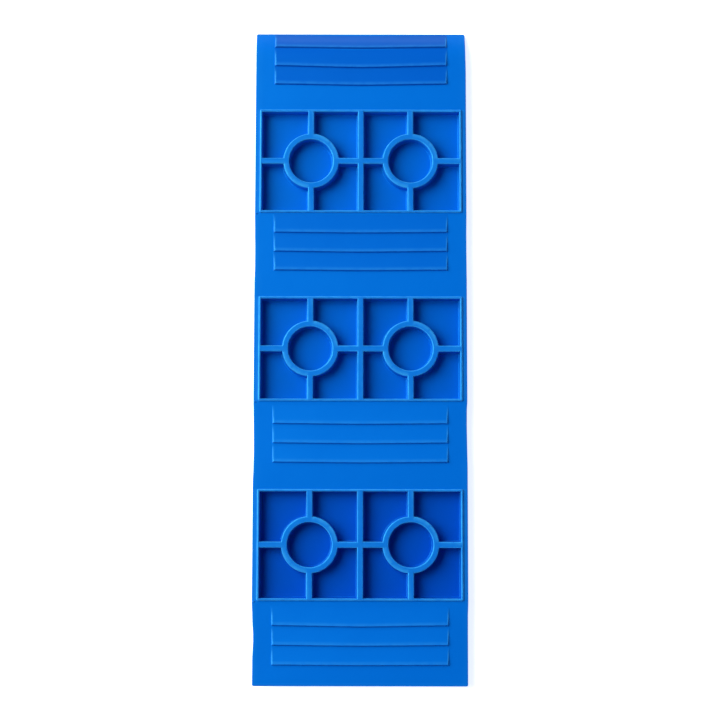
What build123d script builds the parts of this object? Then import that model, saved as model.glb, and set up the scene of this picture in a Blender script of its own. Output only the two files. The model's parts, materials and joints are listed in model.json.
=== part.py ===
"""A folding traction mat for a car tyre, moulded in one flexible piece and built here section by section.

The mat lies on three shallow boxes, each stiffened by ribs and two rings. Sheet panels with wedge teeth join them,
and a flat band between every panel and the next box is the fold. Width runs along X, length along Y from the tail
flap to the curled lead lip, and Z is up. The origin is on the ground, under the middle of the mat.
"""
from build123d import *
import math
import os

# Driving dimensions, in millimetres and degrees. Boxes are listed from the lead end to the tail end.
MAT_WIDTH = 200.0
SHEET = 2.5  # thickness of the flexible sheet
DECK_HEIGHT = 9.0  # underside of the sheet above the ground
RIM_RISE = 1.4  # rims, ribs and rings above the sheet
CORNER_RADIUS = 1.5

SIDE_FLANGE = 4.3  # sheet beside each box
BOX_LENGTHS = (99.2, 98.7, 102.9)
RIM_WALL = 2.2
FLOOR = 1.8
RIB_WIDTH = 5.6
RING_RADIUS = 26.3
RING_WALL = 5.5
RING_SPACING = 94.0  # between the two ring centres in a box

TEETH = 3  # in each panel
TOOTH_MARGIN = 17.5  # from the mat's long edges to the teeth
TOOTH_PITCH = 18.0
TOOTH_RISE = 1.8
TOOTH_CREST = 0.7  # flat land along the tall edge
RISER_DRAFT = 0.8
END_DRAFT = 1.4
TOOTH_GAPS = (1.3, 3.4, 4.8)  # sheet between each box and its first tooth
LEAD_TOOTH = 15.8  # the shorter tooth on the curled lip
LEAD_MARGIN = 2.0
TAIL_FLAP = 19.0

FOLD_CLEARANCE = 1.0  # between two boxes folded back to back
HINGE_CLEARANCE = 0.25  # between a folded sheet and the wall or riser beside it
HINGE_GAP = 0.2  # between the two V-shaped noses of a fold line
LIP_CLEARANCE = 0.3  # under the curled lip

# Widths, levels and fold lines that follow from them.
BOX_WIDTH = MAT_WIDTH - 2 * SIDE_FLANGE
TOOTH_WIDTH = MAT_WIDTH - 2 * TOOTH_MARGIN
DECK_TOP = DECK_HEIGHT + SHEET
RIM_TOP = DECK_TOP + RIM_RISE
FOLD_LEVEL = DECK_HEIGHT + SHEET / 2
HINGE_INSET = SHEET / 2 + HINGE_CLEARANCE
BAND_SPAN = 2 * FOLD_LEVEL + FOLD_CLEARANCE  # from one fold line of a band to its other
LIP_SPAN = HINGE_INSET + LEAD_TOOTH + LEAD_MARGIN


def lip_curl():
    """How far the lead lip curls down until its lower edge is LIP_CLEARANCE above the ground."""
    reach = math.hypot(LIP_SPAN, SHEET / 2)
    return math.degrees(
        math.asin((FOLD_LEVEL - LIP_CLEARANCE) / reach) - math.atan2(SHEET / 2, LIP_SPAN)
    )


def layout():
    """Where each fold line and box lies along Y, from the tail up, with the middle of the mat at 0."""
    places = {}
    y = TAIL_FLAP - HINGE_INSET
    for box in (3, 2, 1):
        places[f"panel_line_{box}"] = y
        y += HINGE_INSET + TEETH * TOOTH_PITCH + TOOTH_GAPS[box - 1]
        places[f"box_start_{box}"] = y
        y += BOX_LENGTHS[box - 1]
        places[f"box_end_{box}"] = y
        y += HINGE_INSET
        places[f"box_line_{box}"] = y
        y += BAND_SPAN
    places["lead_line"] = y
    y += (TEETH - 1) * TOOTH_PITCH
    places["lip_line"] = y
    curl = math.radians(lip_curl())
    total = y + LIP_SPAN * math.cos(curl) + SHEET / 2 * math.sin(curl)
    return {name: value - total / 2 for name, value in places.items()} | {"tail_end": -total / 2}


def block(x_range, y_range, z_range):
    """A box between two values on each axis."""
    sizes = [high - low for low, high in (x_range, y_range, z_range)]
    corner = Pos(x_range[0], y_range[0], z_range[0])
    return corner * Box(*sizes, align=(Align.MIN, Align.MIN, Align.MIN))


def sheet_section(y_low, y_high, nose_low=True, nose_high=True):
    """A length of sheet between two lines, with a V-shaped nose where that end is a fold line."""
    half = SHEET / 2
    low = y_low + (HINGE_GAP / 2 if nose_low else 0)
    high = y_high - (HINGE_GAP / 2 if nose_high else 0)
    low_face = low + (half if nose_low else 0)
    high_face = high - (half if nose_high else 0)
    outline = [(low_face, DECK_HEIGHT), (high_face, DECK_HEIGHT)]
    if nose_high:
        outline.append((high, FOLD_LEVEL))
    outline += [(high_face, DECK_TOP), (low_face, DECK_TOP)]
    if nose_low:
        outline.append((low, FOLD_LEVEL))
    face = Plane.YZ * make_face(Polyline(*outline, close=True))
    return extrude(face, amount=MAT_WIDTH / 2, both=True)


def round_corners(section, y_end):
    """Rounds the two free corners of a sheet section, at the end that lies at y_end."""
    edges = [e for e in section.edges().filter_by(Axis.Z) if abs(e.center().Y - y_end) < CORNER_RADIUS]
    return fillet(edges, CORNER_RADIUS)


def tooth(y_riser, pitch=TOOTH_PITCH):
    """A wedge tooth: its tall edge and riser are at y_riser, and it runs out to nothing a pitch further on."""
    wedge = Wedge(
        TOOTH_WIDTH,
        TOOTH_RISE,
        pitch,
        END_DRAFT,
        pitch - RISER_DRAFT - TOOTH_CREST,
        TOOTH_WIDTH - END_DRAFT,
        pitch - RISER_DRAFT,
        align=(Align.CENTER, Align.MIN, Align.MAX),
    )
    return Pos(0, y_riser, DECK_TOP) * Rot(90, 0, 0) * wedge


def box_walls(y_start, y_end):
    """The four walls of a box: two end walls across the mat and the two side walls between them."""
    half = BOX_WIDTH / 2
    height = (0, RIM_TOP)
    ends = []
    for low, outer in ((y_start, y_start), (y_end - RIM_WALL, y_end)):
        wall = block((-half, half), (low, low + RIM_WALL), height)
        edges = [e for e in wall.edges().filter_by(Axis.Z) if abs(e.center().Y - outer) < RIM_WALL / 2]
        ends.append(fillet(edges, min(CORNER_RADIUS, 0.9 * RIM_WALL)))
    between = (y_start + RIM_WALL, y_end - RIM_WALL)
    sides = [block((low, low + RIM_WALL), between, height) for low in (-half, half - RIM_WALL)]
    return ends + sides


def box_floor(y_start, y_end):
    """The closed bottom of a box, inside its walls."""
    half = BOX_WIDTH / 2 - RIM_WALL
    return block((-half, half), (y_start + RIM_WALL, y_end - RIM_WALL), (0, FLOOR))


def box_flange(y_start, y_end, y_line):
    """The sheet round a box: a strip along each side, and the strip up to the fold line beyond it."""
    inner = BOX_WIDTH / 2
    outer = MAT_WIDTH / 2
    level = (DECK_HEIGHT, DECK_TOP)
    sides = [block(x, (y_start, y_end), level) for x in ((-outer, -inner), (inner, outer))]
    return sides + [sheet_section(y_end, y_line, nose_low=False)]


def centre_rib(y_start, y_end):
    """The rib along the middle of a box, from end wall to end wall."""
    half = RIB_WIDTH / 2
    return block((-half, half), (y_start + RIM_WALL, y_end - RIM_WALL), (FLOOR, RIM_TOP))


def ring_centres(y_start, y_end):
    """The middles of a box's two rings."""
    return [(side * RING_SPACING / 2, (y_start + y_end) / 2) for side in (-1, 1)]


def rings(y_start, y_end):
    """The two upright rings in a box."""
    low = (Align.CENTER, Align.CENTER, Align.MIN)
    height = RIM_TOP - FLOOR
    ring = Cylinder(RING_RADIUS, height, align=low) - Cylinder(RING_RADIUS - RING_WALL, height, align=low)
    return [Pos(x, y, FLOOR) * ring for x, y in ring_centres(y_start, y_end)]


def cross_ribs(y_start, y_end):
    """The four short ribs that hold each ring: to the side wall, the centre rib and both end walls."""
    half = RIB_WIDTH / 2
    height = (FLOOR, RIM_TOP)
    wall = BOX_WIDTH / 2 - RIM_WALL
    ribs = []
    for x, y in ring_centres(y_start, y_end):
        side = math.copysign(1, x)
        keep_out = Pos(x, y, RIM_TOP / 2) * Cylinder(RING_RADIUS, RIM_TOP)
        spans = [
            (sorted((x, side * wall)), (y - half, y + half)),
            (sorted((side * half, x)), (y - half, y + half)),
            ((x - half, x + half), (y, y_end - RIM_WALL)),
            ((x - half, x + half), (y_start + RIM_WALL, y)),
        ]
        ribs += [block(across, along, height) - keep_out for across, along in spans]
    return ribs


def module(box, at):
    """The sections that move as one with a box: its tooth panel, its flange and everything in the box."""
    start, end = at[f"box_start_{box}"], at[f"box_end_{box}"]
    line = at[f"panel_line_{box}"]
    risers = [line + HINGE_INSET + n * TOOTH_PITCH for n in range(TEETH)]
    return {
        f"tooth_panel_{box}": [sheet_section(line, start, nose_high=False)],
        f"teeth_{box}": [tooth(y) for y in risers],
        f"box_flange_{box}": box_flange(start, end, at[f"box_line_{box}"]),
        f"box_walls_{box}": box_walls(start, end),
        f"box_floor_{box}": [box_floor(start, end)],
        f"centre_rib_{box}": [centre_rib(start, end)],
        f"cross_ribs_{box}": cross_ribs(start, end),
        f"rings_{box}": rings(start, end),
    }


def lead_end(at):
    """The end panel with its two teeth, and the lip with the short tooth, curled down about its fold line."""
    line, lip_line = at["lead_line"], at["lip_line"]
    relief = HINGE_INSET + SHEET / 2 + HINGE_CLEARANCE  # tooth-free sheet beside the lip's fold line
    short = TOOTH_PITCH - relief
    teeth = [tooth(line + HINGE_INSET), tooth(line + HINGE_INSET + TOOTH_PITCH, short)]
    lip = round_corners(sheet_section(lip_line, lip_line + LIP_SPAN, nose_high=False), lip_line + LIP_SPAN)
    axis = Axis((0, lip_line, FOLD_LEVEL), (1, 0, 0))
    return {
        "lead_panel": [sheet_section(line, lip_line)],
        "lead_teeth": teeth,
        "lead_lip": [lip.rotate(axis, -lip_curl())],
        "lip_tooth": [tooth(lip_line + HINGE_INSET, LEAD_TOOTH).rotate(axis, -lip_curl())],
    }


def tail_end(at):
    """The toothless flap past the last tooth."""
    flap = sheet_section(at["tail_end"], at["panel_line_3"], nose_low=False)
    return {"tail_flap": [round_corners(flap, at["tail_end"])]}


def fold_band(box, at):
    """The flat band between a box and the panel beyond it."""
    beyond = at["lead_line"] if box == 1 else at[f"panel_line_{box - 1}"]
    return {f"fold_band_{box}": [sheet_section(at[f"box_line_{box}"], beyond)]}


def build():
    """Every node's solids, by name."""
    at = layout()
    nodes = lead_end(at)
    for box in (1, 2, 3):
        nodes |= fold_band(box, at) | module(box, at)
    return nodes | tail_end(at)


def save(nodes):
    """Writes each node to its own STEP file."""
    os.makedirs("parts", exist_ok=True)
    for name, solids in nodes.items():
        shape = solids[0] if len(solids) == 1 else Compound(children=solids)
        export_step(shape, f"parts/{name}.step")


save(build())
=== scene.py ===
"""Looks for a folding traction mat: moulded sheet, wedge teeth and ribbed boxes, on a pale studio floor.

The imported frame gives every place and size. Each piece is built flat from bmesh operators, then settled: the
sheet sags a little between the boxes and its lead end curls down to the floor. Lengths are in metres.
"""
import json
import math

import bmesh
import bpy
from bpy.props import FloatProperty, FloatVectorProperty, IntProperty, PointerProperty
from mathutils import Matrix, Vector


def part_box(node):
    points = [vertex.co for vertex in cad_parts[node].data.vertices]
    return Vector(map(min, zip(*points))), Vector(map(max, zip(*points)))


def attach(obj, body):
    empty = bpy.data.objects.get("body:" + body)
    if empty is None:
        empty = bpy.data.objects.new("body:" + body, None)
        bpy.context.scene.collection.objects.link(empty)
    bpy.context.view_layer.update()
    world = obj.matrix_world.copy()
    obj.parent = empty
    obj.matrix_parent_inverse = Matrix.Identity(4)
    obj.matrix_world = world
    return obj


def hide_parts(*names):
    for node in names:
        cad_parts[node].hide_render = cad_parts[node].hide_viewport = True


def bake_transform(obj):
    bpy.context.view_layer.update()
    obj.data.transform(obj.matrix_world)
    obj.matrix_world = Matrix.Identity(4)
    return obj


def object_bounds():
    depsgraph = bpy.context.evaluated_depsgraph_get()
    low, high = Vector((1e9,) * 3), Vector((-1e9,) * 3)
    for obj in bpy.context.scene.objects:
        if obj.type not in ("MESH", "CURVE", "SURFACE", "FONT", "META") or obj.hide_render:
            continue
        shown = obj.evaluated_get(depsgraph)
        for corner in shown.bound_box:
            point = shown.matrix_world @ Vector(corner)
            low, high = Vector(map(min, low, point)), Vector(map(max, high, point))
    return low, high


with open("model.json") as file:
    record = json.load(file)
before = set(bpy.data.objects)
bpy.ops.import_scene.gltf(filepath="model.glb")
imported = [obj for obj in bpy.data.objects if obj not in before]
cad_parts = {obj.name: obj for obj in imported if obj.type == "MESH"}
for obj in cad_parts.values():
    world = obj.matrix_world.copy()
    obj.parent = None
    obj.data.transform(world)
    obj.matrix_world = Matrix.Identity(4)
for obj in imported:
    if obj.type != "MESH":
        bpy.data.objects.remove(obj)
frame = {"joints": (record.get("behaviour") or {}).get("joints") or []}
CAD_LOW, CAD_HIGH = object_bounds()

bl_info = {
    "name": "Traction mat",
    "version": (1, 0, 0),
    "blender": (4, 5, 0),
    "location": "View3D > Sidebar > Traction mat",
    "description": "Builds the moulded sheet, teeth and ribbed boxes of a folding traction mat",
    "category": "Add Mesh",
}

BOXES = (1, 2, 3)
FOLD = {joint["name"]: joint["pos_m"][1] for joint in frame["joints"]}
LIP_CURL = -math.radians(next(j["range_deg"][0] for j in frame["joints"] if j["name"] == "lip_flex"))


def y_span(node):
    """Where a CAD node starts and ends along the mat."""
    low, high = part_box(node)
    return low.y, high.y


BOX_SPANS = [y_span(f"box_walls_{n}") for n in BOXES]
HALF_WIDTH = CAD_HIGH.x
DECK_BOTTOM, DECK_TOP = (corner.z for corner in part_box("fold_band_1"))
SHEET = DECK_TOP - DECK_BOTTOM
FOLD_LEVEL = (DECK_BOTTOM + DECK_TOP) / 2
RIM_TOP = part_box("box_walls_1")[1].z
FLOOR_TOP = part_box("box_floor_1")[1].z
INSET = y_span("teeth_1")[0] - FOLD["fold_2_far"]  # from a fold line to the riser or rim beside it
TOOTH_BOWS = {  # how far each tooth's middle hangs towards the tail, in mm, from the tail end up
    "lead": (1.25, 2.0, 1.1),
    "1": (0.55, 0.95, 0.65),
    "2": (0.6, 0.8, 0.7),
    "3": (0.35, 0.8, 1.3),
}
DRAWN_IN = [  # how far the long edges draw in: place along the mat in m, left and right edge in mm
    (-0.308, 0.75, 0.50), (-0.283, 0.75, 0.45), (-0.275, 1.10, 0.45), (-0.268, 1.50, 0.45),
    (-0.261, 1.40, 0.45), (-0.253, 0.80, 0.40), (-0.246, 0.50, 0.40), (-0.231, 0.00, 0.00),
    (-0.122, 0.00, 0.00), (-0.107, 0.50, 0.00), (-0.092, 0.75, 0.25), (-0.084, 0.65, 0.40),
    (-0.069, 0.45, 0.60), (-0.054, 0.20, 0.50), (-0.046, 0.00, 0.00), (0.066, 0.00, 0.00),
    (0.081, 0.45, 0.10), (0.097, 0.45, 0.20), (0.112, 0.20, 0.20), (0.132, 0.00, 0.00),
    (0.270, 0.00, 0.00), (0.285, 0.00, 0.30), (0.308, 0.00, 0.50),
]
TOOTH_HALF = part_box("teeth_1")[1].x
TEETH = 3
PITCH = (y_span("teeth_1")[1] - y_span("teeth_1")[0]) / TEETH
RIM_PAINTED_HIGHLIGHT = 0.13  # the least painted highlight along a rim's top
GLOSS_LEVEL = 0.55


# ---------------------------------------------------------------- settings


class MatShape(bpy.types.PropertyGroup):
    """Sizes of the moulding that the frame doesn't hold."""

    ring_wall: FloatProperty(
        name="Ring wall", description="Thickness of the upright rings", default=0.0055, unit="LENGTH"
    )
    rib_roll: FloatProperty(
        name="Rib roll", description="Rounding along the tops of ribs, rings and rims", default=0.0010,
        unit="LENGTH",
    )
    floor_fillet: FloatProperty(
        name="Floor fillet", description="Rounding where a pocket's wall meets its floor", default=0.0012,
        unit="LENGTH",
    )
    wall_draft: FloatProperty(
        name="Wall draft", description="How far a pocket narrows from top to floor", default=0.0004,
        unit="LENGTH",
    )
    edge_roll: FloatProperty(
        name="Edge roll", description="Rounding along the free edges of the sheet", default=0.0007,
        unit="LENGTH",
    )
    corner_radius: FloatProperty(
        name="Corner radius", description="Radius of the mat's free corners", default=0.0015, unit="LENGTH"
    )
    crest_roll: FloatProperty(
        name="Crest roll", description="Rounding along the tall edge of a tooth", default=0.0005,
        unit="LENGTH",
    )
    riser_draft: FloatProperty(
        name="Riser draft", description="How far a tooth's riser leans back at its crest", default=0.0006,
        unit="LENGTH",
    )
    end_draft: FloatProperty(
        name="End draft", description="How far a tooth's ends lean in at its crest", default=0.0014,
        unit="LENGTH",
    )
    flash: FloatProperty(
        name="Flash", description="How ragged the moulding flash is at the teeth's left ends",
        default=0.00022, unit="LENGTH",
    )
    sag: FloatProperty(
        name="Sag", description="How far the sheet sags between the boxes", default=0.0005, unit="LENGTH"
    )
    curl_reach: FloatProperty(
        name="Curl reach", description="Half the length of sheet that the lead curl takes", default=0.009,
        unit="LENGTH",
    )
    arc_steps: IntProperty(name="Arc steps", description="Segments in a quarter of a ring", default=20, min=4)


class MatFinish(bpy.types.PropertyGroup):
    """Colours and finish of the moulding, with the colours of its painted highlight and painted shade."""

    blue: FloatVectorProperty(
        name="Blue", description="Colour of the moulding", subtype="COLOR", size=3, min=0, max=1,
        default=(0.0, 0.152, 0.65),
    )
    deep_blue: FloatVectorProperty(
        name="Deep blue", description="Colour of the moulding in its flow marks", subtype="COLOR", size=3,
        min=0, max=1, default=(0.0, 0.136, 0.61),
    )
    # Painted highlight, partly wear: the colour painted on rounded edges, rib tops and rim tops.
    worn_blue: FloatVectorProperty(
        name="Worn and highlight blue", description="Colour of the moulding on its rounded edges", subtype="COLOR", size=3,
        min=0, max=1, default=(0.045, 0.39, 0.80),
    )
    # Painted shade: a deeper blue painted low down in the pockets, strongest in the box at the tail.
    shade_blue: FloatVectorProperty(
        name="Shade blue", description="Painted shade colour low down in the pockets", subtype="COLOR",
        size=3, min=0, max=1, default=(0.0, 0.012, 0.38),
    )
    pocket_shade: FloatVectorProperty(
        name="Pocket shade", description="How strong the painted shade is in each box, from the lead end", size=3,
        min=0, max=1, default=(0.17, 0.26, 0.60),
    )
    gloss_tint: FloatVectorProperty(
        name="Gloss tint", description="Tint of the moulding's gloss", subtype="COLOR", size=3, min=0, max=1,
        default=(0.05, 0.85, 1.0),
    )
    # Painted shade: the teeth, and most of all the lip's tooth, are painted darker than the sheet.
    tooth_blue: FloatVectorProperty(
        name="Tooth shade blue", description="Painted shade on the lead teeth: a darker blue than the sheet",
        subtype="COLOR", size=3, min=0, max=1, default=(0.0, 0.098, 0.53),
    )
    lip_blue: FloatVectorProperty(
        name="Lip shade blue", description="Painted shade on the lip's tooth: a darker, greyer blue",
        subtype="COLOR", size=3, min=0, max=1, default=(0.004, 0.086, 0.46),
    )
    roughness: FloatProperty(
        name="Roughness", description="Mean roughness of the moulding", default=0.40
    )
    # How strongly the painted highlight and wear show on the rounded edges.
    wear: FloatProperty(
        name="Edge wear", description="How pale the rounded edges are", default=0.9, min=0, max=1
    )
    floor_colour: FloatVectorProperty(
        name="Floor", description="Colour of the studio floor", subtype="COLOR", size=3, min=0, max=1,
        default=(0.93, 0.93, 0.93),
    )
    floor_glow: FloatProperty(name="Floor glow", description="Light the floor gives off", default=0.75)


class MatStage(bpy.types.PropertyGroup):
    """Camera and light."""

    distance: FloatProperty(
        name="Camera distance", description="From the camera to the mat", default=1.56, unit="LENGTH"
    )
    view_width: FloatProperty(
        name="View width", description="Width of the view at the mat", default=0.674, unit="LENGTH"
    )
    aim: FloatVectorProperty(
        name="Aim", description="What the camera looks at, from the middle of the mat's deck", size=2,
        default=(-0.0004, -0.0073), subtype="XYZ", unit="LENGTH",
    )
    tilt: FloatProperty(
        name="Camera tilt", description="Angle between the view and straight down", default=math.radians(5.8),
        subtype="ANGLE", unit="ROTATION",
    )
    roll: FloatProperty(
        name="Camera roll", description="Turn of the camera about its view", default=math.radians(0.1),
        subtype="ANGLE", unit="ROTATION",
    )
    key_power: FloatProperty(
        name="Key light", description="Power of the key light", default=160.0, unit="POWER"
    )
    fill_power: FloatProperty(
        name="Fill light", description="Power of the fill light at the tail", default=0.3, unit="POWER"
    )
    surround: FloatVectorProperty(
        name="Surround", description="Colour of the surround", subtype="COLOR", size=3, min=0, max=1,
        default=(0.50, 0.66, 1.0),
    )
    horizon: FloatProperty(name="Horizon", description="Brightness of the surround low down", default=0.62)
    zenith: FloatProperty(name="Zenith", description="Brightness of the surround overhead", default=0.03)


GROUPS = {"traction_mat_shape": MatShape, "traction_mat_finish": MatFinish, "traction_mat_stage": MatStage}


def shape():
    """The sizes in use."""
    return bpy.context.scene.traction_mat_shape


# ---------------------------------------------------------------- how the flexible sheet lies


def smooth(t):
    """0 below 0, 1 above 1 and an even ramp between."""
    t = min(1.0, max(0.0, t))
    return t * t * (3 - 2 * t)


def slack(y):
    """How free the sheet is at y: 0 beside a box, 1 a few centimetres away from all of them."""
    free_from = 0.036
    nearest = min(max(low - y, y - high, 0.0) for low, high in BOX_SPANS)
    return smooth(nearest / free_from)


def sag(x, y):
    """How far the sheet hangs below its moulded level at a point."""
    across = x / HALF_WIDTH
    to_end = min(CAD_HIGH.y - y, y - CAD_LOW.y)
    waves = 0.30 + 0.22 * math.sin(31 * x + 9 * y + 0.6) + 0.16 * math.sin(58 * x - 23 * y)
    edges = 0.5 * across ** 4 * (1.0 if x < 0 else 0.6)
    return shape().sag * slack(y) * smooth(to_end / 0.03) * max(0.0, waves + edges)


def pinch(x, y):
    """How far a long edge is drawn in at a point."""
    if abs(x) < 0.5 * HALF_WIDTH:
        return 0.0
    share = (abs(x) / HALF_WIDTH - 0.5) / 0.5
    side = 1 if x < 0 else 2
    past = next((n for n, row in enumerate(DRAWN_IN) if row[0] > y), len(DRAWN_IN) - 1)
    low, high = DRAWN_IN[max(past - 1, 0)], DRAWN_IN[past]
    along = smooth((y - low[0]) / (high[0] - low[0])) if high[0] > low[0] else 1.0
    drawn = low[side] + (high[side] - low[side]) * along
    return math.copysign(drawn / 1000 * share * share, x)


def curl(y, z):
    """The place of a flat point once the lead end has curled down about its fold line."""
    reach = shape().curl_reach
    line = FOLD["lip_flex"]
    start = line - reach
    if y <= start:
        return y, z
    radius = 2 * reach / LIP_CURL
    turn = min(LIP_CURL, (y - start) / radius)
    past = max(0.0, y - line - reach)
    height = z - FOLD_LEVEL
    along = start + radius * math.sin(turn) + past * math.cos(turn) + height * math.sin(turn)
    drop = radius * (1 - math.cos(turn)) + past * math.sin(turn)
    return along, FOLD_LEVEL - drop + height * math.cos(turn)


def settle(bm):
    """Lays a flat piece of the sheet as the real one lies, once its edges are marked with faint wear and a
    painted highlight.
    """
    if not bm.verts.layers.float.get("edge_wear"):
        # Faint wear and painted highlight on the sheet's rolled edges.
        mark_wear(bm, 0.35)
    for vert in bm.verts:
        x, y, z = vert.co
        y, z = curl(y, z - sag(x, y))
        vert.co = (x - pinch(x, vert.co.y), y, z)


# ---------------------------------------------------------------- mesh helpers


def piece(name, bm, *, body=None, between=None, replaces=(), material=None):
    """Makes an object of a bmesh, rides it on a body, and gives it its blue; the fold to blend it across is
    not used.
    """
    bmesh.ops.remove_doubles(bm, verts=bm.verts, dist=1e-6)
    bmesh.ops.recalc_face_normals(bm, faces=bm.faces)
    for face in bm.faces:
        face.smooth = True
    mesh = bpy.data.meshes.new(name)
    bm.to_mesh(mesh)
    bm.free()
    mesh.set_sharp_from_angle(angle=math.radians(40))
    mesh.materials.append(material or moulding_material())
    obj = bpy.data.objects.new(name, mesh)
    bpy.context.scene.collection.objects.link(obj)
    weighted = obj.modifiers.new("Even shading", "WEIGHTED_NORMAL")
    weighted.keep_sharp = True
    if body:
        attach(obj, body)
    else:
        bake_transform(obj)
    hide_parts(*replaces)
    return obj


def wear_layer(bm):
    """The vertex attribute that says how worn a place is and where light is painted: above 0 for paler wear
    and a painted highlight, below 0 for painted shade.
    """
    return bm.verts.layers.float.get("edge_wear") or bm.verts.layers.float.new("edge_wear")


def mark_wear(bm, share, shade=0.0):
    """Marks rounded edges and rib tops above 0, for paler wear and a painted highlight, and pockets below 0,
    for painted shade.
    """
    layer = wear_layer(bm)
    bm.normal_update()
    for vert in bm.verts:
        normal = Vector()
        for face in vert.link_faces:
            joined_end = abs(face.normal.y) > 0.9995 and abs(face.normal.z) < 0.02
            if not joined_end:
                normal += face.normal
        if normal.length == 0:
            continue
        tilt = math.acos(min(1.0, abs(normal.normalized().z))) / (math.pi / 2)
        # Pocket walls and floors get painted shade; rounded edges get wear and a painted highlight.
        in_pocket = FLOOR_TOP - 0.0001 < vert.co.z < DECK_BOTTOM - 0.0015
        wear_and_painted_light = -shade if in_pocket else min(1.0, share * max(0.0, 1 - abs(2 * tilt - 1)))
        # Rim tops get at least this painted highlight.
        if abs(vert.co.z - RIM_TOP) < 1e-5:
            wear_and_painted_light = max(wear_and_painted_light, RIM_PAINTED_HIGHLIGHT)
        vert[layer] = wear_and_painted_light


def cut(bm, point, normal, faces=None):
    """Cuts every face, or the faces given, along a plane, and returns the faces there after the cut."""
    faces = bm.faces[:] if faces is None else faces
    geom = list({v for f in faces for v in f.verts}) + list({e for f in faces for e in f.edges}) + faces
    done = bmesh.ops.bisect_plane(bm, geom=geom, plane_co=point, plane_no=normal, dist=1e-7)
    return [f for f in done["geom"] if isinstance(f, bmesh.types.BMFace)]


def cuts_between(low, high, step):
    """Evenly spaced places inside a range."""
    count = max(1, round((high - low) / step))
    return [low + (high - low) * n / count for n in range(1, count)]


def plate(y_low, y_high, *, hole=None, free_end=None):
    """A flat length of the sheet, with rolled long edges, and a square hole or a free end if asked for."""
    sizes = shape()
    fine = 0.004
    bm = bmesh.new()
    place = Matrix.Translation((0, (y_low + y_high) / 2, DECK_TOP))
    scale = Matrix.Diagonal((2 * HALF_WIDTH, y_high - y_low, 1, 1))
    bmesh.ops.create_grid(bm, x_segments=1, y_segments=1, size=0.5, matrix=place @ scale)
    if free_end is not None:
        corners = [v for v in bm.verts if abs(v.co.y - free_end) < 1e-6]
        bmesh.ops.bevel(
            bm, geom=corners, offset=sizes.corner_radius, offset_type="OFFSET", affect="VERTICES", segments=5,
            profile=0.5, material=-1,
        )
    across = cuts_between(-HALF_WIDTH, HALF_WIDTH, 2 * fine)
    if hole:
        across += [-hole[0], hole[0]]
        cut(bm, (0, hole[1], 0), (0, 1, 0))
    for x in across:
        cut(bm, (x, 0, 0), (1, 0, 0))
    for y in cuts_between(y_low, y_high, fine):
        cut(bm, (0, y, 0), (0, 1, 0))
    if hole:
        inside = [
            f for f in bm.faces
            if abs(f.calc_center_median().x) < hole[0] and f.calc_center_median().y > hole[1]
        ]
        bmesh.ops.delete(bm, geom=inside, context="FACES")
    top = bm.faces[:]
    lower = bmesh.ops.extrude_face_region(bm, geom=top)["geom"]
    bmesh.ops.translate(bm, vec=(0, 0, -SHEET), verts=[v for v in lower if isinstance(v, bmesh.types.BMVert)])
    bmesh.ops.recalc_face_normals(bm, faces=bm.faces)
    rolled = [e for e in bm.edges if is_free_edge(e, free_end)]
    bmesh.ops.bevel(
        bm, geom=rolled, offset=sizes.edge_roll, offset_type="OFFSET", affect="EDGES", segments=3,
        profile=0.5, material=-1,
    )
    return bm


def add_tongue(bm, y):
    """Adds a thin tongue inside the sheet where two pieces meet end to end, so that no light shows there."""
    place = Matrix.Translation((0, y, FOLD_LEVEL))
    scale = Matrix.Diagonal((2 * HALF_WIDTH - 0.005, 0.0010, SHEET * 0.6, 1))
    bmesh.ops.create_cube(bm, size=1, matrix=place @ scale)


def is_free_edge(edge, free_end):
    """True for a plate's edges along the mat's long sides, and round its free end."""
    a, b = (v.co for v in edge.verts)
    if abs(a.z - b.z) > 1e-6 or len(edge.link_faces) != 2:
        return False
    if edge.calc_face_angle(0) < math.radians(60):
        return False
    middle = (a + b) / 2
    corner = shape().corner_radius
    at_side = abs(middle.x) > HALF_WIDTH - corner
    at_end = free_end is not None and abs(middle.y - free_end) < corner
    return at_end or (at_side and abs(a.y - b.y) > 1e-6)


def outline_loop(bm, points, z):
    """A closed loop of edges through points, at one height."""
    verts = [bm.verts.new((x, y, z)) for x, y in points]
    return [bm.edges.new((verts[n - 1], verts[n])) for n in range(len(verts))], verts


def follow_profile(bm, outline, profile):
    """Sweeps an outline down a profile of (offset, height) steps and returns its first and last edge loops."""
    edges, verts = outline_loop(bm, outline(profile[0][0]), profile[0][1])
    first = edges
    for offset, z in profile[1:]:
        grown = bmesh.ops.extrude_edge_only(bm, edges=edges)["geom"]
        fresh = {v for v in grown if isinstance(v, bmesh.types.BMVert)}
        following = [next(e.other_vert(v) for e in v.link_edges if e.other_vert(v) in fresh) for v in verts]
        for vert, (x, y) in zip(following, outline(offset)):
            vert.co = (x, y, z)
        verts = following
        edges = [e for e in grown if isinstance(e, bmesh.types.BMEdge) and set(e.verts) <= fresh]
    return first, edges


def quarter(steps):
    """Even turns from 0 to a quarter circle."""
    return [math.pi / 2 * n / steps for n in range(steps + 1)]


# ---------------------------------------------------------------- materials


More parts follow.
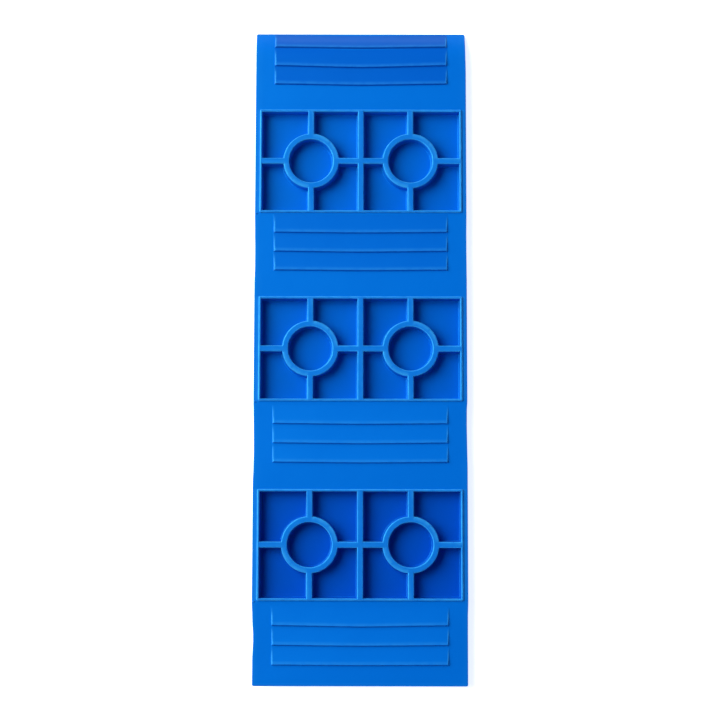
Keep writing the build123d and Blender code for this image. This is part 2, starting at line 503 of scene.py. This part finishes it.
def finish_group():
    """A node group for the moulded finish: slow flow marks, cloudy gloss and a fine grain."""
    name = "Moulded finish"
    if name in bpy.data.node_groups:
        return bpy.data.node_groups[name]
    group = bpy.data.node_groups.new(name, "ShaderNodeTree")
    sockets = group.interface
    sockets.new_socket("Vector", in_out="INPUT", socket_type="NodeSocketVector")
    for label, default in (("Roughness", 0.34), ("Gloss clouds", 0.06), ("Grain size", 900.0)):
        sockets.new_socket(label, in_out="INPUT", socket_type="NodeSocketFloat").default_value = default
    sockets.new_socket("Flow", in_out="OUTPUT", socket_type="NodeSocketFloat")
    sockets.new_socket("Roughness", in_out="OUTPUT", socket_type="NodeSocketFloat")
    sockets.new_socket("Height", in_out="OUTPUT", socket_type="NodeSocketFloat")
    nodes, links = group.nodes, group.links
    inside = nodes.new("NodeGroupInput")
    outside = nodes.new("NodeGroupOutput")

    flow = nodes.new("ShaderNodeTexNoise")
    flow.inputs["Scale"].default_value = 9.0
    flow.inputs["Detail"].default_value = 3.0
    flow.inputs["Distortion"].default_value = 0.8
    links.new(inside.outputs["Vector"], flow.inputs["Vector"])
    links.new(flow.outputs["Fac"], outside.inputs["Flow"])

    clouds = nodes.new("ShaderNodeTexNoise")
    clouds.inputs["Scale"].default_value = 38.0
    clouds.inputs["Detail"].default_value = 5.0
    links.new(inside.outputs["Vector"], clouds.inputs["Vector"])
    centred = nodes.new("ShaderNodeMath")
    centred.operation = "SUBTRACT"
    centred.inputs[1].default_value = 0.5
    links.new(clouds.outputs["Fac"], centred.inputs[0])
    varied = nodes.new("ShaderNodeMath")
    varied.operation = "MULTIPLY_ADD"
    links.new(centred.outputs[0], varied.inputs[0])
    links.new(inside.outputs["Gloss clouds"], varied.inputs[1])
    links.new(inside.outputs["Roughness"], varied.inputs[2])
    links.new(varied.outputs[0], outside.inputs["Roughness"])

    grain = nodes.new("ShaderNodeTexNoise")
    grain.inputs["Detail"].default_value = 2.0
    links.new(inside.outputs["Vector"], grain.inputs["Vector"])
    links.new(inside.outputs["Grain size"], grain.inputs["Scale"])
    ripple = nodes.new("ShaderNodeTexNoise")
    ripple.inputs["Scale"].default_value = 26.0
    ripple.inputs["Detail"].default_value = 2.0
    links.new(inside.outputs["Vector"], ripple.inputs["Vector"])
    grain_share = nodes.new("ShaderNodeMath")
    grain_share.operation = "MULTIPLY"
    grain_share.inputs[1].default_value = 0.03
    links.new(grain.outputs["Fac"], grain_share.inputs[0])
    dimples = nodes.new("ShaderNodeTexNoise")
    dimples.inputs["Scale"].default_value = 150.0
    dimples.inputs["Detail"].default_value = 1.0
    links.new(inside.outputs["Vector"], dimples.inputs["Vector"])
    dimpled = nodes.new("ShaderNodeMath")
    dimpled.operation = "MULTIPLY_ADD"
    dimpled.inputs[1].default_value = 0.16
    links.new(dimples.outputs["Fac"], dimpled.inputs[0])
    links.new(ripple.outputs["Fac"], dimpled.inputs[2])
    height = nodes.new("ShaderNodeMath")
    height.operation = "ADD"
    links.new(grain_share.outputs[0], height.inputs[0])
    links.new(dimpled.outputs[0], height.inputs[1])
    links.new(height.outputs[0], outside.inputs["Height"])
    return group


def wear_group():
    """A node group that makes worn edges paler, as wear and a painted highlight, and more polished, in
    patches.
    """
    name = "Edge wear"
    if name in bpy.data.node_groups:
        return bpy.data.node_groups[name]
    group = bpy.data.node_groups.new(name, "ShaderNodeTree")
    sockets = group.interface
    sockets.new_socket("Vector", in_out="INPUT", socket_type="NodeSocketVector")
    for label in ("Edge", "Amount", "Roughness"):
        sockets.new_socket(label, in_out="INPUT", socket_type="NodeSocketFloat")
    for label in ("Colour", "Worn colour"):
        sockets.new_socket(label, in_out="INPUT", socket_type="NodeSocketColor")
    sockets.new_socket("Colour", in_out="OUTPUT", socket_type="NodeSocketColor")
    sockets.new_socket("Roughness", in_out="OUTPUT", socket_type="NodeSocketFloat")
    nodes, links = group.nodes, group.links
    inside = nodes.new("NodeGroupInput")
    outside = nodes.new("NodeGroupOutput")

    patches = nodes.new("ShaderNodeTexNoise")
    patches.inputs["Scale"].default_value = 160.0
    patches.inputs["Detail"].default_value = 4.0
    links.new(inside.outputs["Vector"], patches.inputs["Vector"])
    uneven = nodes.new("ShaderNodeMapRange")
    uneven.inputs["From Min"].default_value = 0.3
    uneven.inputs["From Max"].default_value = 0.6
    uneven.inputs["To Min"].default_value = 0.55
    links.new(patches.outputs["Fac"], uneven.inputs["Value"])
    share = nodes.new("ShaderNodeMath")
    share.operation = "MULTIPLY"
    links.new(inside.outputs["Edge"], share.inputs[0])
    links.new(inside.outputs["Amount"], share.inputs[1])
    mask = nodes.new("ShaderNodeMath")
    mask.operation = "MULTIPLY"
    mask.use_clamp = True
    links.new(share.outputs[0], mask.inputs[0])
    links.new(uneven.outputs["Result"], mask.inputs[1])

    paler = nodes.new("ShaderNodeMix")
    paler.data_type = "RGBA"
    links.new(mask.outputs[0], paler.inputs["Factor"])
    links.new(inside.outputs["Colour"], paler.inputs["A"])
    links.new(inside.outputs["Worn colour"], paler.inputs["B"])
    links.new(paler.outputs["Result"], outside.inputs["Colour"])
    polished = nodes.new("ShaderNodeMath")
    polished.operation = "MULTIPLY_ADD"
    polished.inputs[1].default_value = -0.15
    links.new(mask.outputs[0], polished.inputs[0])
    links.new(inside.outputs["Roughness"], polished.inputs[2])
    links.new(polished.outputs[0], outside.inputs["Roughness"])
    return group


def moulding_material(name="Blue moulding", blue=None):
    """Satin blue moulding with faint flow marks, cloudy gloss and a fine grain, paler worn edges with a
    painted highlight, and painted shade low in the pockets.
    """
    if name in bpy.data.materials:
        return bpy.data.materials[name]
    finish = bpy.context.scene.traction_mat_finish
    blue, deep_blue = (blue, blue) if blue else (finish.blue, finish.deep_blue)
    material = bpy.data.materials.new(name)
    material.use_nodes = True
    nodes, links = material.node_tree.nodes, material.node_tree.links
    shader = nodes["Principled BSDF"]
    shader.inputs["Specular IOR Level"].default_value = GLOSS_LEVEL
    shader.inputs["Specular Tint"].default_value = (*finish.gloss_tint, 1)
    place = nodes.new("ShaderNodeTexCoord")
    group = nodes.new("ShaderNodeGroup")
    group.node_tree = finish_group()
    group.inputs["Roughness"].default_value = finish.roughness
    links.new(place.outputs["Object"], group.inputs["Vector"])

    tint = nodes.new("ShaderNodeMix")
    tint.data_type = "RGBA"
    tint.inputs["A"].default_value = (*blue, 1)
    tint.inputs["B"].default_value = (*deep_blue, 1)
    links.new(group.outputs["Flow"], tint.inputs["Factor"])
    # Painted shade: the attribute below 0 mixes the pockets towards a deeper blue.
    edges = nodes.new("ShaderNodeAttribute")
    edges.attribute_name = "edge_wear"
    painted_shade_amount = nodes.new("ShaderNodeMath")
    painted_shade_amount.operation = "MULTIPLY"
    painted_shade_amount.use_clamp = True
    painted_shade_amount.inputs[1].default_value = -1.0
    links.new(edges.outputs["Fac"], painted_shade_amount.inputs[0])
    shaded = nodes.new("ShaderNodeMix")
    shaded.data_type = "RGBA"
    shaded.inputs["B"].default_value = (*finish.shade_blue, 1)
    links.new(painted_shade_amount.outputs[0], shaded.inputs["Factor"])
    links.new(tint.outputs["Result"], shaded.inputs["A"])
    # Paler rounded edges: wear and a painted highlight.
    wear_and_painted_light = nodes.new("ShaderNodeGroup")
    wear_and_painted_light.node_tree = wear_group()
    wear_and_painted_light.inputs["Worn colour"].default_value = (*finish.worn_blue, 1)
    wear_and_painted_light.inputs["Amount"].default_value = finish.wear
    links.new(place.outputs["Object"], wear_and_painted_light.inputs["Vector"])
    links.new(edges.outputs["Fac"], wear_and_painted_light.inputs["Edge"])
    links.new(shaded.outputs["Result"], wear_and_painted_light.inputs["Colour"])
    links.new(group.outputs["Roughness"], wear_and_painted_light.inputs["Roughness"])
    links.new(wear_and_painted_light.outputs["Colour"], shader.inputs["Base Color"])
    links.new(wear_and_painted_light.outputs["Roughness"], shader.inputs["Roughness"])

    bump = nodes.new("ShaderNodeBump")
    bump.inputs["Strength"].default_value = 0.25
    bump.inputs["Distance"].default_value = 0.0012
    links.new(group.outputs["Height"], bump.inputs["Height"])
    links.new(bump.outputs["Normal"], shader.inputs["Normal"])
    return material


def floor_material():
    """Pale matt studio paper."""
    material = bpy.data.materials.new("Studio paper")
    material.use_nodes = True
    nodes, links = material.node_tree.nodes, material.node_tree.links
    shader = nodes["Principled BSDF"]
    finish = bpy.context.scene.traction_mat_finish
    shader.inputs["Base Color"].default_value = (*finish.floor_colour, 1)
    shader.inputs["Specular IOR Level"].default_value = 0.1
    shader.inputs["Emission Color"].default_value = (1, 1, 1, 1)
    shader.inputs["Emission Strength"].default_value = finish.floor_glow
    place = nodes.new("ShaderNodeTexCoord")
    fibre = nodes.new("ShaderNodeTexNoise")
    fibre.inputs["Scale"].default_value = 60.0
    rough = nodes.new("ShaderNodeMapRange")
    rough.inputs["To Min"].default_value = 0.8
    rough.inputs["To Max"].default_value = 0.95
    links.new(place.outputs["Object"], fibre.inputs["Vector"])
    links.new(fibre.outputs["Fac"], rough.inputs["Value"])
    links.new(rough.outputs["Result"], shader.inputs["Roughness"])
    return material


# ---------------------------------------------------------------- ribbed boxes


def rounded_rectangle(centre_y, half_x, half_y, radius):
    """An outline with rounded corners, as a function of how far it is drawn in."""

    def outline(offset):
        turn_radius = max(radius - offset, 0.0002)
        reach_x, reach_y = half_x - offset - turn_radius, half_y - offset - turn_radius
        points = []
        for corner, (side_x, side_y) in enumerate(((1, 1), (-1, 1), (-1, -1), (1, -1))):
            for turn in quarter(4):
                angle = corner * math.pi / 2 + turn
                x = side_x * reach_x + turn_radius * math.cos(angle)
                y = side_y * reach_y + turn_radius * math.sin(angle)
                points.append((x, centre_y + y))
        return points

    return outline


def circle(centre_x, centre_y, radius, steps):
    """A round outline, as a function of how far it is drawn in."""

    def outline(offset):
        turns = [2 * math.pi * n / (4 * steps) for n in range(4 * steps)]
        return [
            (centre_x + (radius - offset) * math.cos(t), centre_y + (radius - offset) * math.sin(t))
            for t in turns
        ]

    return outline


def ring_cell(centre, side_x, side_y, reach_x, reach_y, rib_half, ring_radius, steps):
    """The outline of a pocket between two ribs, a ring and two straight walls, by how far it is drawn in."""

    def outline(offset):
        rib, radius = rib_half + offset, ring_radius + offset
        wall_x, wall_y = reach_x - offset, reach_y - offset
        on_ring = math.asin(rib / radius)
        turns = [on_ring + (math.pi / 2 - 2 * on_ring) * n / steps for n in range(steps + 1)]
        points = [(radius * math.cos(t), radius * math.sin(t)) for t in turns]
        points += [(rib, wall_y), (wall_x, wall_y), (wall_x, rib)]
        return [(centre[0] + side_x * x, centre[1] + side_y * y) for x, y in points]

    return outline


def pocket_profile():
    """How a pocket's wall runs from the rolled rib top down to its floor."""
    sizes = shape()
    roll, fillet, draft = sizes.rib_roll, sizes.floor_fillet, sizes.wall_draft
    top = [(-roll * (1 - math.sin(t)), RIM_TOP - roll * (1 - math.cos(t))) for t in quarter(4)]
    foot = [(draft + fillet * (1 - math.cos(t)), FLOOR_TOP + fillet * (1 - math.sin(t))) for t in quarter(4)]
    return top + foot


def shell_profile():
    """How a box's outside runs from its rolled rim down to the edge of its underside."""
    roll = shape().rib_roll
    top = [(roll * (1 - math.sin(t)), RIM_TOP - roll * (1 - math.cos(t))) for t in quarter(4)]
    foot = [(roll * (1 - math.cos(t)), roll * (1 - math.sin(t))) for t in quarter(4)]
    return top + foot


def ribbed_box(number):
    """One box as a closed moulding: rim, ribs, rings, pockets, floor and outside."""
    sizes = shape()
    low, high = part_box(f"box_walls_{number}")
    floor_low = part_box(f"box_floor_{number}")[0]
    ring_low, ring_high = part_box(f"rings_{number}")
    wall = floor_low.x - low.x
    rib_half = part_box(f"centre_rib_{number}")[1].x
    ring_radius = (ring_high.y - ring_low.y) / 2
    ring_x = ring_high.x - ring_radius
    centre_y = (low.y + high.y) / 2
    reach_y = (high.y - low.y) / 2 - wall

    bm = bmesh.new()
    outside = rounded_rectangle(centre_y, high.x, (high.y - low.y) / 2, sizes.corner_radius)
    rim_edges, base_edges = follow_profile(bm, outside, shell_profile())
    tops, floors = list(rim_edges), [base_edges]
    for side in (-1, 1):
        centre = (side * ring_x, centre_y)
        wells = [circle(*centre, ring_radius - sizes.ring_wall, sizes.arc_steps)]
        for side_x, reach_x in ((side, high.x - wall - ring_x), (-side, ring_x - rib_half)):
            for side_y in (-1, 1):
                wells.append(
                    ring_cell(
                        centre, side_x, side_y, reach_x, reach_y, rib_half, ring_radius, sizes.arc_steps
                    )
                )
        for well in wells:
            mouth, foot = follow_profile(bm, well, pocket_profile())
            tops += mouth
            floors.append(foot)
    bmesh.ops.triangle_fill(bm, use_beauty=True, use_dissolve=False, edges=tops)
    for edges in floors:
        bmesh.ops.contextual_create(bm, geom=edges)
    # Wear and painted highlight on the rolled edges, painted shade low in the pockets.
    mark_wear(bm, 1.5, bpy.context.scene.traction_mat_finish.pocket_shade[number - 1])
    nodes = [f"{part}_{number}" for part in ("box_walls", "box_floor", "centre_rib", "cross_ribs", "rings")]
    return piece(f"ribbed_box_{number}", bm, body=f"module_{number}", replaces=nodes)


# ---------------------------------------------------------------- sheet


def add_nub(bm, start):
    """Adds the small lump of flash on the sheet's left edge, level with the foot of a box."""
    place = Matrix.Translation((0.0014 - HALF_WIDTH, start - 0.0008, DECK_TOP))
    scale = Matrix.Diagonal((0.0014, 0.0007, 0.0009, 1))
    bmesh.ops.create_icosphere(bm, subdivisions=2, radius=1, matrix=place @ scale)


def deck(number):
    """The sheet that moves with a box: under its teeth and along both of its sides."""
    start, end = BOX_SPANS[number - 1]
    behind_rim = 0.0012
    hole = (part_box(f"box_walls_{number}")[1].x - behind_rim, start + behind_rim)
    bm = plate(y_span(f"teeth_{number}")[0], end, hole=hole)
    add_nub(bm, start)
    settle(bm)
    nodes = [f"tooth_panel_{number}", f"box_flange_{number}"]
    return piece(f"deck_{number}", bm, body=f"module_{number}", replaces=nodes)


def fold_line(place):
    """The fold line nearest to a place along the mat."""
    return min(FOLD.values(), key=lambda y: abs(y - place))


def fold_crease(number, at_box):
    """Half of a fold band: the half beside the box, or the half beside the panel beyond."""
    band_low, band_high = y_span(f"fold_band_{number}")
    middle = (band_low + band_high) / 2
    band = f"fold_band_{number}"
    if at_box:
        line = fold_line(band_low)
        bm = plate(BOX_SPANS[number - 1][1], middle)
        joined = (f"module_{number}", band, line, INSET, INSET)
        name = f"fold_{number}_box_half"
    else:
        line = fold_line(band_high)
        beyond = "lead_panel" if number == 1 else f"module_{number - 1}"
        bm = plate(middle, line + INSET)
        joined = (band, beyond, line, INSET, INSET)
        name = f"fold_{number}_panel_half"
    add_tongue(bm, BOX_SPANS[number - 1][1] if at_box else middle)
    if not at_box:
        add_tongue(bm, line + INSET)
    settle(bm)
    return piece(name, bm, between=joined, replaces=[band] if at_box else [])


def lead_sheet():
    """The sheet under the lead teeth, with the lip that curls down at its end."""
    trimmed = 0.0006
    tip = FOLD["lip_flex"] + lip_length() - trimmed
    bm = plate(y_span("lead_teeth")[0], tip, free_end=tip)
    settle(bm)
    return piece("lead_sheet", bm, between=lip_blend(), replaces=["lead_panel", "lead_lip"])


def lip_length():
    """The length of the lip, from its fold line to its free edge, along the sheet."""
    low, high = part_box("lead_lip")
    across = SHEET / 2 * math.sin(LIP_CURL)
    return (high.y - across - FOLD["lip_flex"]) / math.cos(LIP_CURL)


def lip_blend():
    """The lead panel and its lip, and the stretch of sheet that bends between them."""
    reach = shape().curl_reach
    return "lead_panel", "lead_lip", FOLD["lip_flex"], reach, reach * math.cos(LIP_CURL)


def tail_flap():
    """The toothless flap past the last tooth."""
    low = y_span("tail_flap")[0]
    line = FOLD["flap_flex"]
    bm = plate(low, line + INSET, free_end=low)
    add_tongue(bm, line + INSET)
    settle(bm)
    joined = ("tail_flap", "module_3", line, INSET, INSET)
    return piece("tail_flap_sheet", bm, between=joined, replaces=["tail_flap"])


# ---------------------------------------------------------------- teeth


def wedge(bm, riser, length, rise, bow):
    """Adds one wedge tooth: a rounded crest above its riser, running out to nothing along the mat."""
    sizes = shape()
    wear_and_painted_light = wear_layer(bm)
    roll, sink, gap, step = sizes.crest_roll, 0.0004, 0.00008, 0.0015
    fall = math.atan2(rise, length)
    arc = [math.pi - (math.pi / 2 + fall) * n / 4 for n in range(5)]
    middle_y, middle_z = sizes.riser_draft + roll, rise - roll
    section = [(0, -sink), (0, 0)]
    section += [(middle_y + roll * math.cos(t), middle_z + roll * math.sin(t)) for t in arc]
    section += [(length - gap, 0.00004), (length - gap, -sink)]
    verts = [bm.verts.new((-TOOTH_HALF, riser + y, DECK_TOP + z)) for y, z in section]
    first = bm.faces.new(verts)
    grown = bmesh.ops.extrude_face_region(bm, geom=[first], use_keep_orig=True)["geom"]
    across = [v for v in grown if isinstance(v, bmesh.types.BMVert)]
    bmesh.ops.translate(bm, vec=(2 * TOOTH_HALF, 0, 0), verts=across)
    tooth = verts + across
    for vert in tooth:
        lean = max(0.0, vert.co.z - DECK_TOP) / rise
        vert.co.x -= math.copysign(sizes.end_draft * lean, vert.co.x)
    own = set(tooth)
    brows = [
        e for e in {e for v in tooth for e in v.link_edges}
        if set(e.verts) <= own and abs(e.verts[0].co.x - e.verts[1].co.x) < TOOTH_HALF
        and max(v.co.z for v in e.verts) > DECK_TOP + rise / 3
    ]
    rounded = bmesh.ops.bevel(
        bm, geom=brows, offset=roll / 2, offset_type="OFFSET", affect="EDGES", segments=2, profile=0.5,
        material=-1,
    )
    own = [v for v in tooth if v.is_valid] + rounded["verts"]
    region = list({f for v in own if v.is_valid for f in v.link_faces})
    brow = TOOTH_HALF - sizes.end_draft
    brow_cuts = (-brow + 0.0010, brow - 0.0010)
    for x in (*cuts_between(-TOOTH_HALF, TOOTH_HALF, 0.0036), *brow_cuts):
        region = cut(bm, (x, 0, 0), (1, 0, 0), region)
    for y in cuts_between(riser, riser + length, step):
        region = cut(bm, (0, y, 0), (0, 1, 0), region)
    for vert in {v for f in region for v in f.verts}:
        x, y, z = vert.co
        if z > DECK_TOP:
            vert.co.z = z = DECK_TOP + rise * ((z - DECK_TOP) / rise) ** 1.35
        if x < -TOOTH_HALF + 2 * sizes.end_draft and z > DECK_TOP:
            vert.co.x += sizes.flash * (math.sin(2100 * y) + math.sin(3700 * y + 1.3)) * (z - DECK_TOP) / rise
        lean = (z - DECK_TOP) / rise
        # A painted highlight along each crest, and a stronger one along the ends' brows.
        if y > riser + sizes.riser_draft * 0.9 and lean > 0:
            vert[wear_and_painted_light] = 0.25 * smooth((lean - 0.78) / 0.14)
            if abs(x) > brow - 0.0005:
                vert[wear_and_painted_light] = max(vert[wear_and_painted_light], 0.6 * smooth(lean / 0.4))
        vert.co.y -= bow * hang(x / TOOTH_HALF)


def hang(across):
    """How a tooth hangs from its two ends: 0 at both, 1 in the middle, and nearly straight between."""
    soft = 0.02
    level = math.sqrt(soft)
    return 1 - (math.sqrt(across * across + soft) - level) / (math.sqrt(1 + soft) - level)


def teeth(name, risers, rise, **joined):
    """A row of wedge teeth as one piece, each from its riser with its own length and bow."""
    bm = bmesh.new()
    wear_layer(bm)
    for riser, length, bow in risers:
        wedge(bm, riser, length, rise, bow / 1000)
    settle(bm)
    # Each row of teeth gets its own material with painted shade.
    return piece(name, bm, material=moulding_material(f"Blue moulding, {name}", tooth_colour(name)), **joined)


def tooth_colour(name):
    """The blue of a row of teeth: painted shade at the lead end, fading to nearly the sheet's own blue further
    back.
    """
    finish = bpy.context.scene.traction_mat_finish
    if name == "lip_wedge_tooth":
        return finish.lip_blue
    share = {"lead_wedge_teeth": 0.0, "wedge_teeth_1": 0.4}.get(name, 0.85)
    return [painted_dark + (blue - painted_dark) * share for painted_dark, blue in zip(finish.tooth_blue, finish.blue)]


# ---------------------------------------------------------------- operators


class BoxesOperator(bpy.types.Operator):
    """Add the three ribbed boxes"""

    bl_idname = "traction_mat.add_boxes"
    bl_label = "Ribbed boxes"

    def execute(self, context):
        for number in BOXES:
            ribbed_box(number)
        return {"FINISHED"}


class DecksOperator(bpy.types.Operator):
    """Add the sheet beside each box and under its teeth"""

    bl_idname = "traction_mat.add_decks"
    bl_label = "Decks"

    def execute(self, context):
        for number in BOXES:
            deck(number)
        return {"FINISHED"}


class FoldsOperator(bpy.types.Operator):
    """Add the flat fold bands, each in two halves, one at each of its fold lines"""

    bl_idname = "traction_mat.add_folds"
    bl_label = "Fold bands"

    def execute(self, context):
        for number in BOXES:
            fold_crease(number, at_box=True)
            fold_crease(number, at_box=False)
        return {"FINISHED"}


class EndsOperator(bpy.types.Operator):
    """Add the curled lead sheet and the tail flap"""

    bl_idname = "traction_mat.add_ends"
    bl_label = "Lead sheet and tail flap"

    def execute(self, context):
        lead_sheet()
        tail_flap()
        return {"FINISHED"}


class TeethOperator(bpy.types.Operator):
    """Add the wedge teeth of every panel and of the lip"""

    bl_idname = "traction_mat.add_teeth"
    bl_label = "Wedge teeth"

    def execute(self, context):
        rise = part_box("teeth_1")[1].z - DECK_TOP
        for number in BOXES:
            first = y_span(f"teeth_{number}")[0]
            risers = [(first + n * PITCH, PITCH, bow) for n, bow in enumerate(TOOTH_BOWS[str(number)])]
            teeth(
                f"wedge_teeth_{number}", risers, rise, body=f"module_{number}", replaces=[f"teeth_{number}"]
            )
        first = y_span("lead_teeth")[0]
        bows = TOOTH_BOWS["lead"]
        lip_riser = FOLD["lip_flex"] + INSET
        second = first + PITCH
        teeth(
            "lead_wedge_teeth", [(first, PITCH, bows[0]), (second, lip_riser - second, bows[1])], rise,
            between=lip_blend(), replaces=["lead_teeth"],
        )
        margin = 0.002
        teeth(
            "lip_wedge_tooth", [(lip_riser, lip_length() - INSET - margin, bows[2])], rise,
            between=lip_blend(), replaces=["lip_tooth"],
        )
        return {"FINISHED"}


class StageOperator(bpy.types.Operator):
    """Add the floor, the soft light and the camera"""

    bl_idname = "traction_mat.add_stage"
    bl_label = "Floor, light and camera"

    def execute(self, context):
        add_floor()
        add_light(context.scene)
        add_camera(context.scene)
        return {"FINISHED"}


def add_floor():
    """A wide pale floor under the mat."""
    bm = bmesh.new()
    bmesh.ops.create_grid(bm, x_segments=1, y_segments=1, size=12.0)
    bmesh.ops.translate(bm, vec=(0, 0, -0.0001), verts=bm.verts)
    mesh = bpy.data.meshes.new("studio_floor")
    bm.to_mesh(mesh)
    bm.free()
    mesh.materials.append(floor_material())
    floor = bpy.data.objects.new("studio_floor", mesh)
    bpy.context.scene.collection.objects.link(floor)


def area_light(name, place, size, power):
    """A soft light that points between the mat's middle and its tail."""
    data = bpy.data.lights.new(name, "AREA")
    data.shape = "RECTANGLE"
    data.size, data.size_y = size
    data.energy = power
    lamp = bpy.data.objects.new(name, data)
    lamp.location = place
    lamp.rotation_euler = (Vector((0, -0.25, 0)) - Vector(place)).to_track_quat("-Z", "Y").to_euler()
    bpy.context.scene.collection.objects.link(lamp)


def add_light(scene):
    """A large key light on the left, a low fill at the tail, and a surround that is bright low down only."""
    settings = scene.traction_mat_stage
    area_light("key_light", (-2.19, 0.86, 1.92), (2.7, 2.7), settings.key_power)
    area_light("tail_fill", (0.2, -1.9, 0.75), (1.6, 0.7), settings.fill_power)
    world = bpy.data.worlds.new("Soft surround")
    world.use_nodes = True
    nodes, links = world.node_tree.nodes, world.node_tree.links
    background = nodes["Background"]
    place = nodes.new("ShaderNodeTexCoord")
    split = nodes.new("ShaderNodeSeparateXYZ")
    ramp = nodes.new("ShaderNodeMapRange")
    ramp.interpolation_type = "SMOOTHSTEP"
    ramp.inputs["From Min"].default_value = 0.25
    ramp.inputs["From Max"].default_value = 0.9
    ramp.inputs["To Min"].default_value = settings.horizon
    ramp.inputs["To Max"].default_value = settings.zenith
    links.new(place.outputs["Generated"], split.inputs["Vector"])
    links.new(split.outputs["Z"], ramp.inputs["Value"])
    background.inputs["Color"].default_value = (*settings.surround, 1)
    links.new(ramp.outputs["Result"], background.inputs["Strength"])
    scene.world = world


def add_camera(scene):
    """A camera nearly straight above the mat, a little towards its tail."""
    settings = scene.traction_mat_stage
    data = bpy.data.cameras.new("camera")
    data.sensor_width = 36.0
    data.lens = data.sensor_width * settings.distance / settings.view_width
    camera = bpy.data.objects.new("camera", data)
    target = Vector((settings.aim[0], settings.aim[1], DECK_TOP))
    turn = Matrix.Rotation(settings.tilt, 4, "X") @ Matrix.Rotation(settings.roll, 4, "Z")
    camera.matrix_world = Matrix.Translation(target) @ turn @ Matrix.Translation((0, 0, settings.distance))
    scene.collection.objects.link(camera)
    scene.camera = camera
    scene.view_settings.view_transform = "Standard"


class TractionMatPanel(bpy.types.Panel):
    """Lists the mat's pieces in the 3D view's sidebar"""

    bl_idname = "VIEW3D_PT_traction_mat"
    bl_label = "Traction mat"
    bl_space_type = "VIEW_3D"
    bl_region_type = "UI"
    bl_category = "Traction mat"

    def draw(self, context):
        for operator in OPERATORS:
            self.layout.operator(operator.bl_idname)
        for name, group in GROUPS.items():
            settings = getattr(context.scene, name)
            box = self.layout.box()
            for field in group.__annotations__:
                box.prop(settings, field)


OPERATORS = (BoxesOperator, DecksOperator, FoldsOperator, EndsOperator, TeethOperator, StageOperator)
CLASSES = (*GROUPS.values(), *OPERATORS, TractionMatPanel)


def register():
    for cls in CLASSES:
        bpy.utils.register_class(cls)
    for name, group in GROUPS.items():
        setattr(bpy.types.Scene, name, PointerProperty(type=group))


def unregister():
    for name in GROUPS:
        delattr(bpy.types.Scene, name)
    for cls in reversed(CLASSES):
        bpy.utils.unregister_class(cls)


def main():
    """Builds the whole mat and its stage."""
    register()
    for operator in OPERATORS:
        group, name = operator.bl_idname.split(".")
        getattr(getattr(bpy.ops, group), name)()


if __name__ == "__main__":
    main()
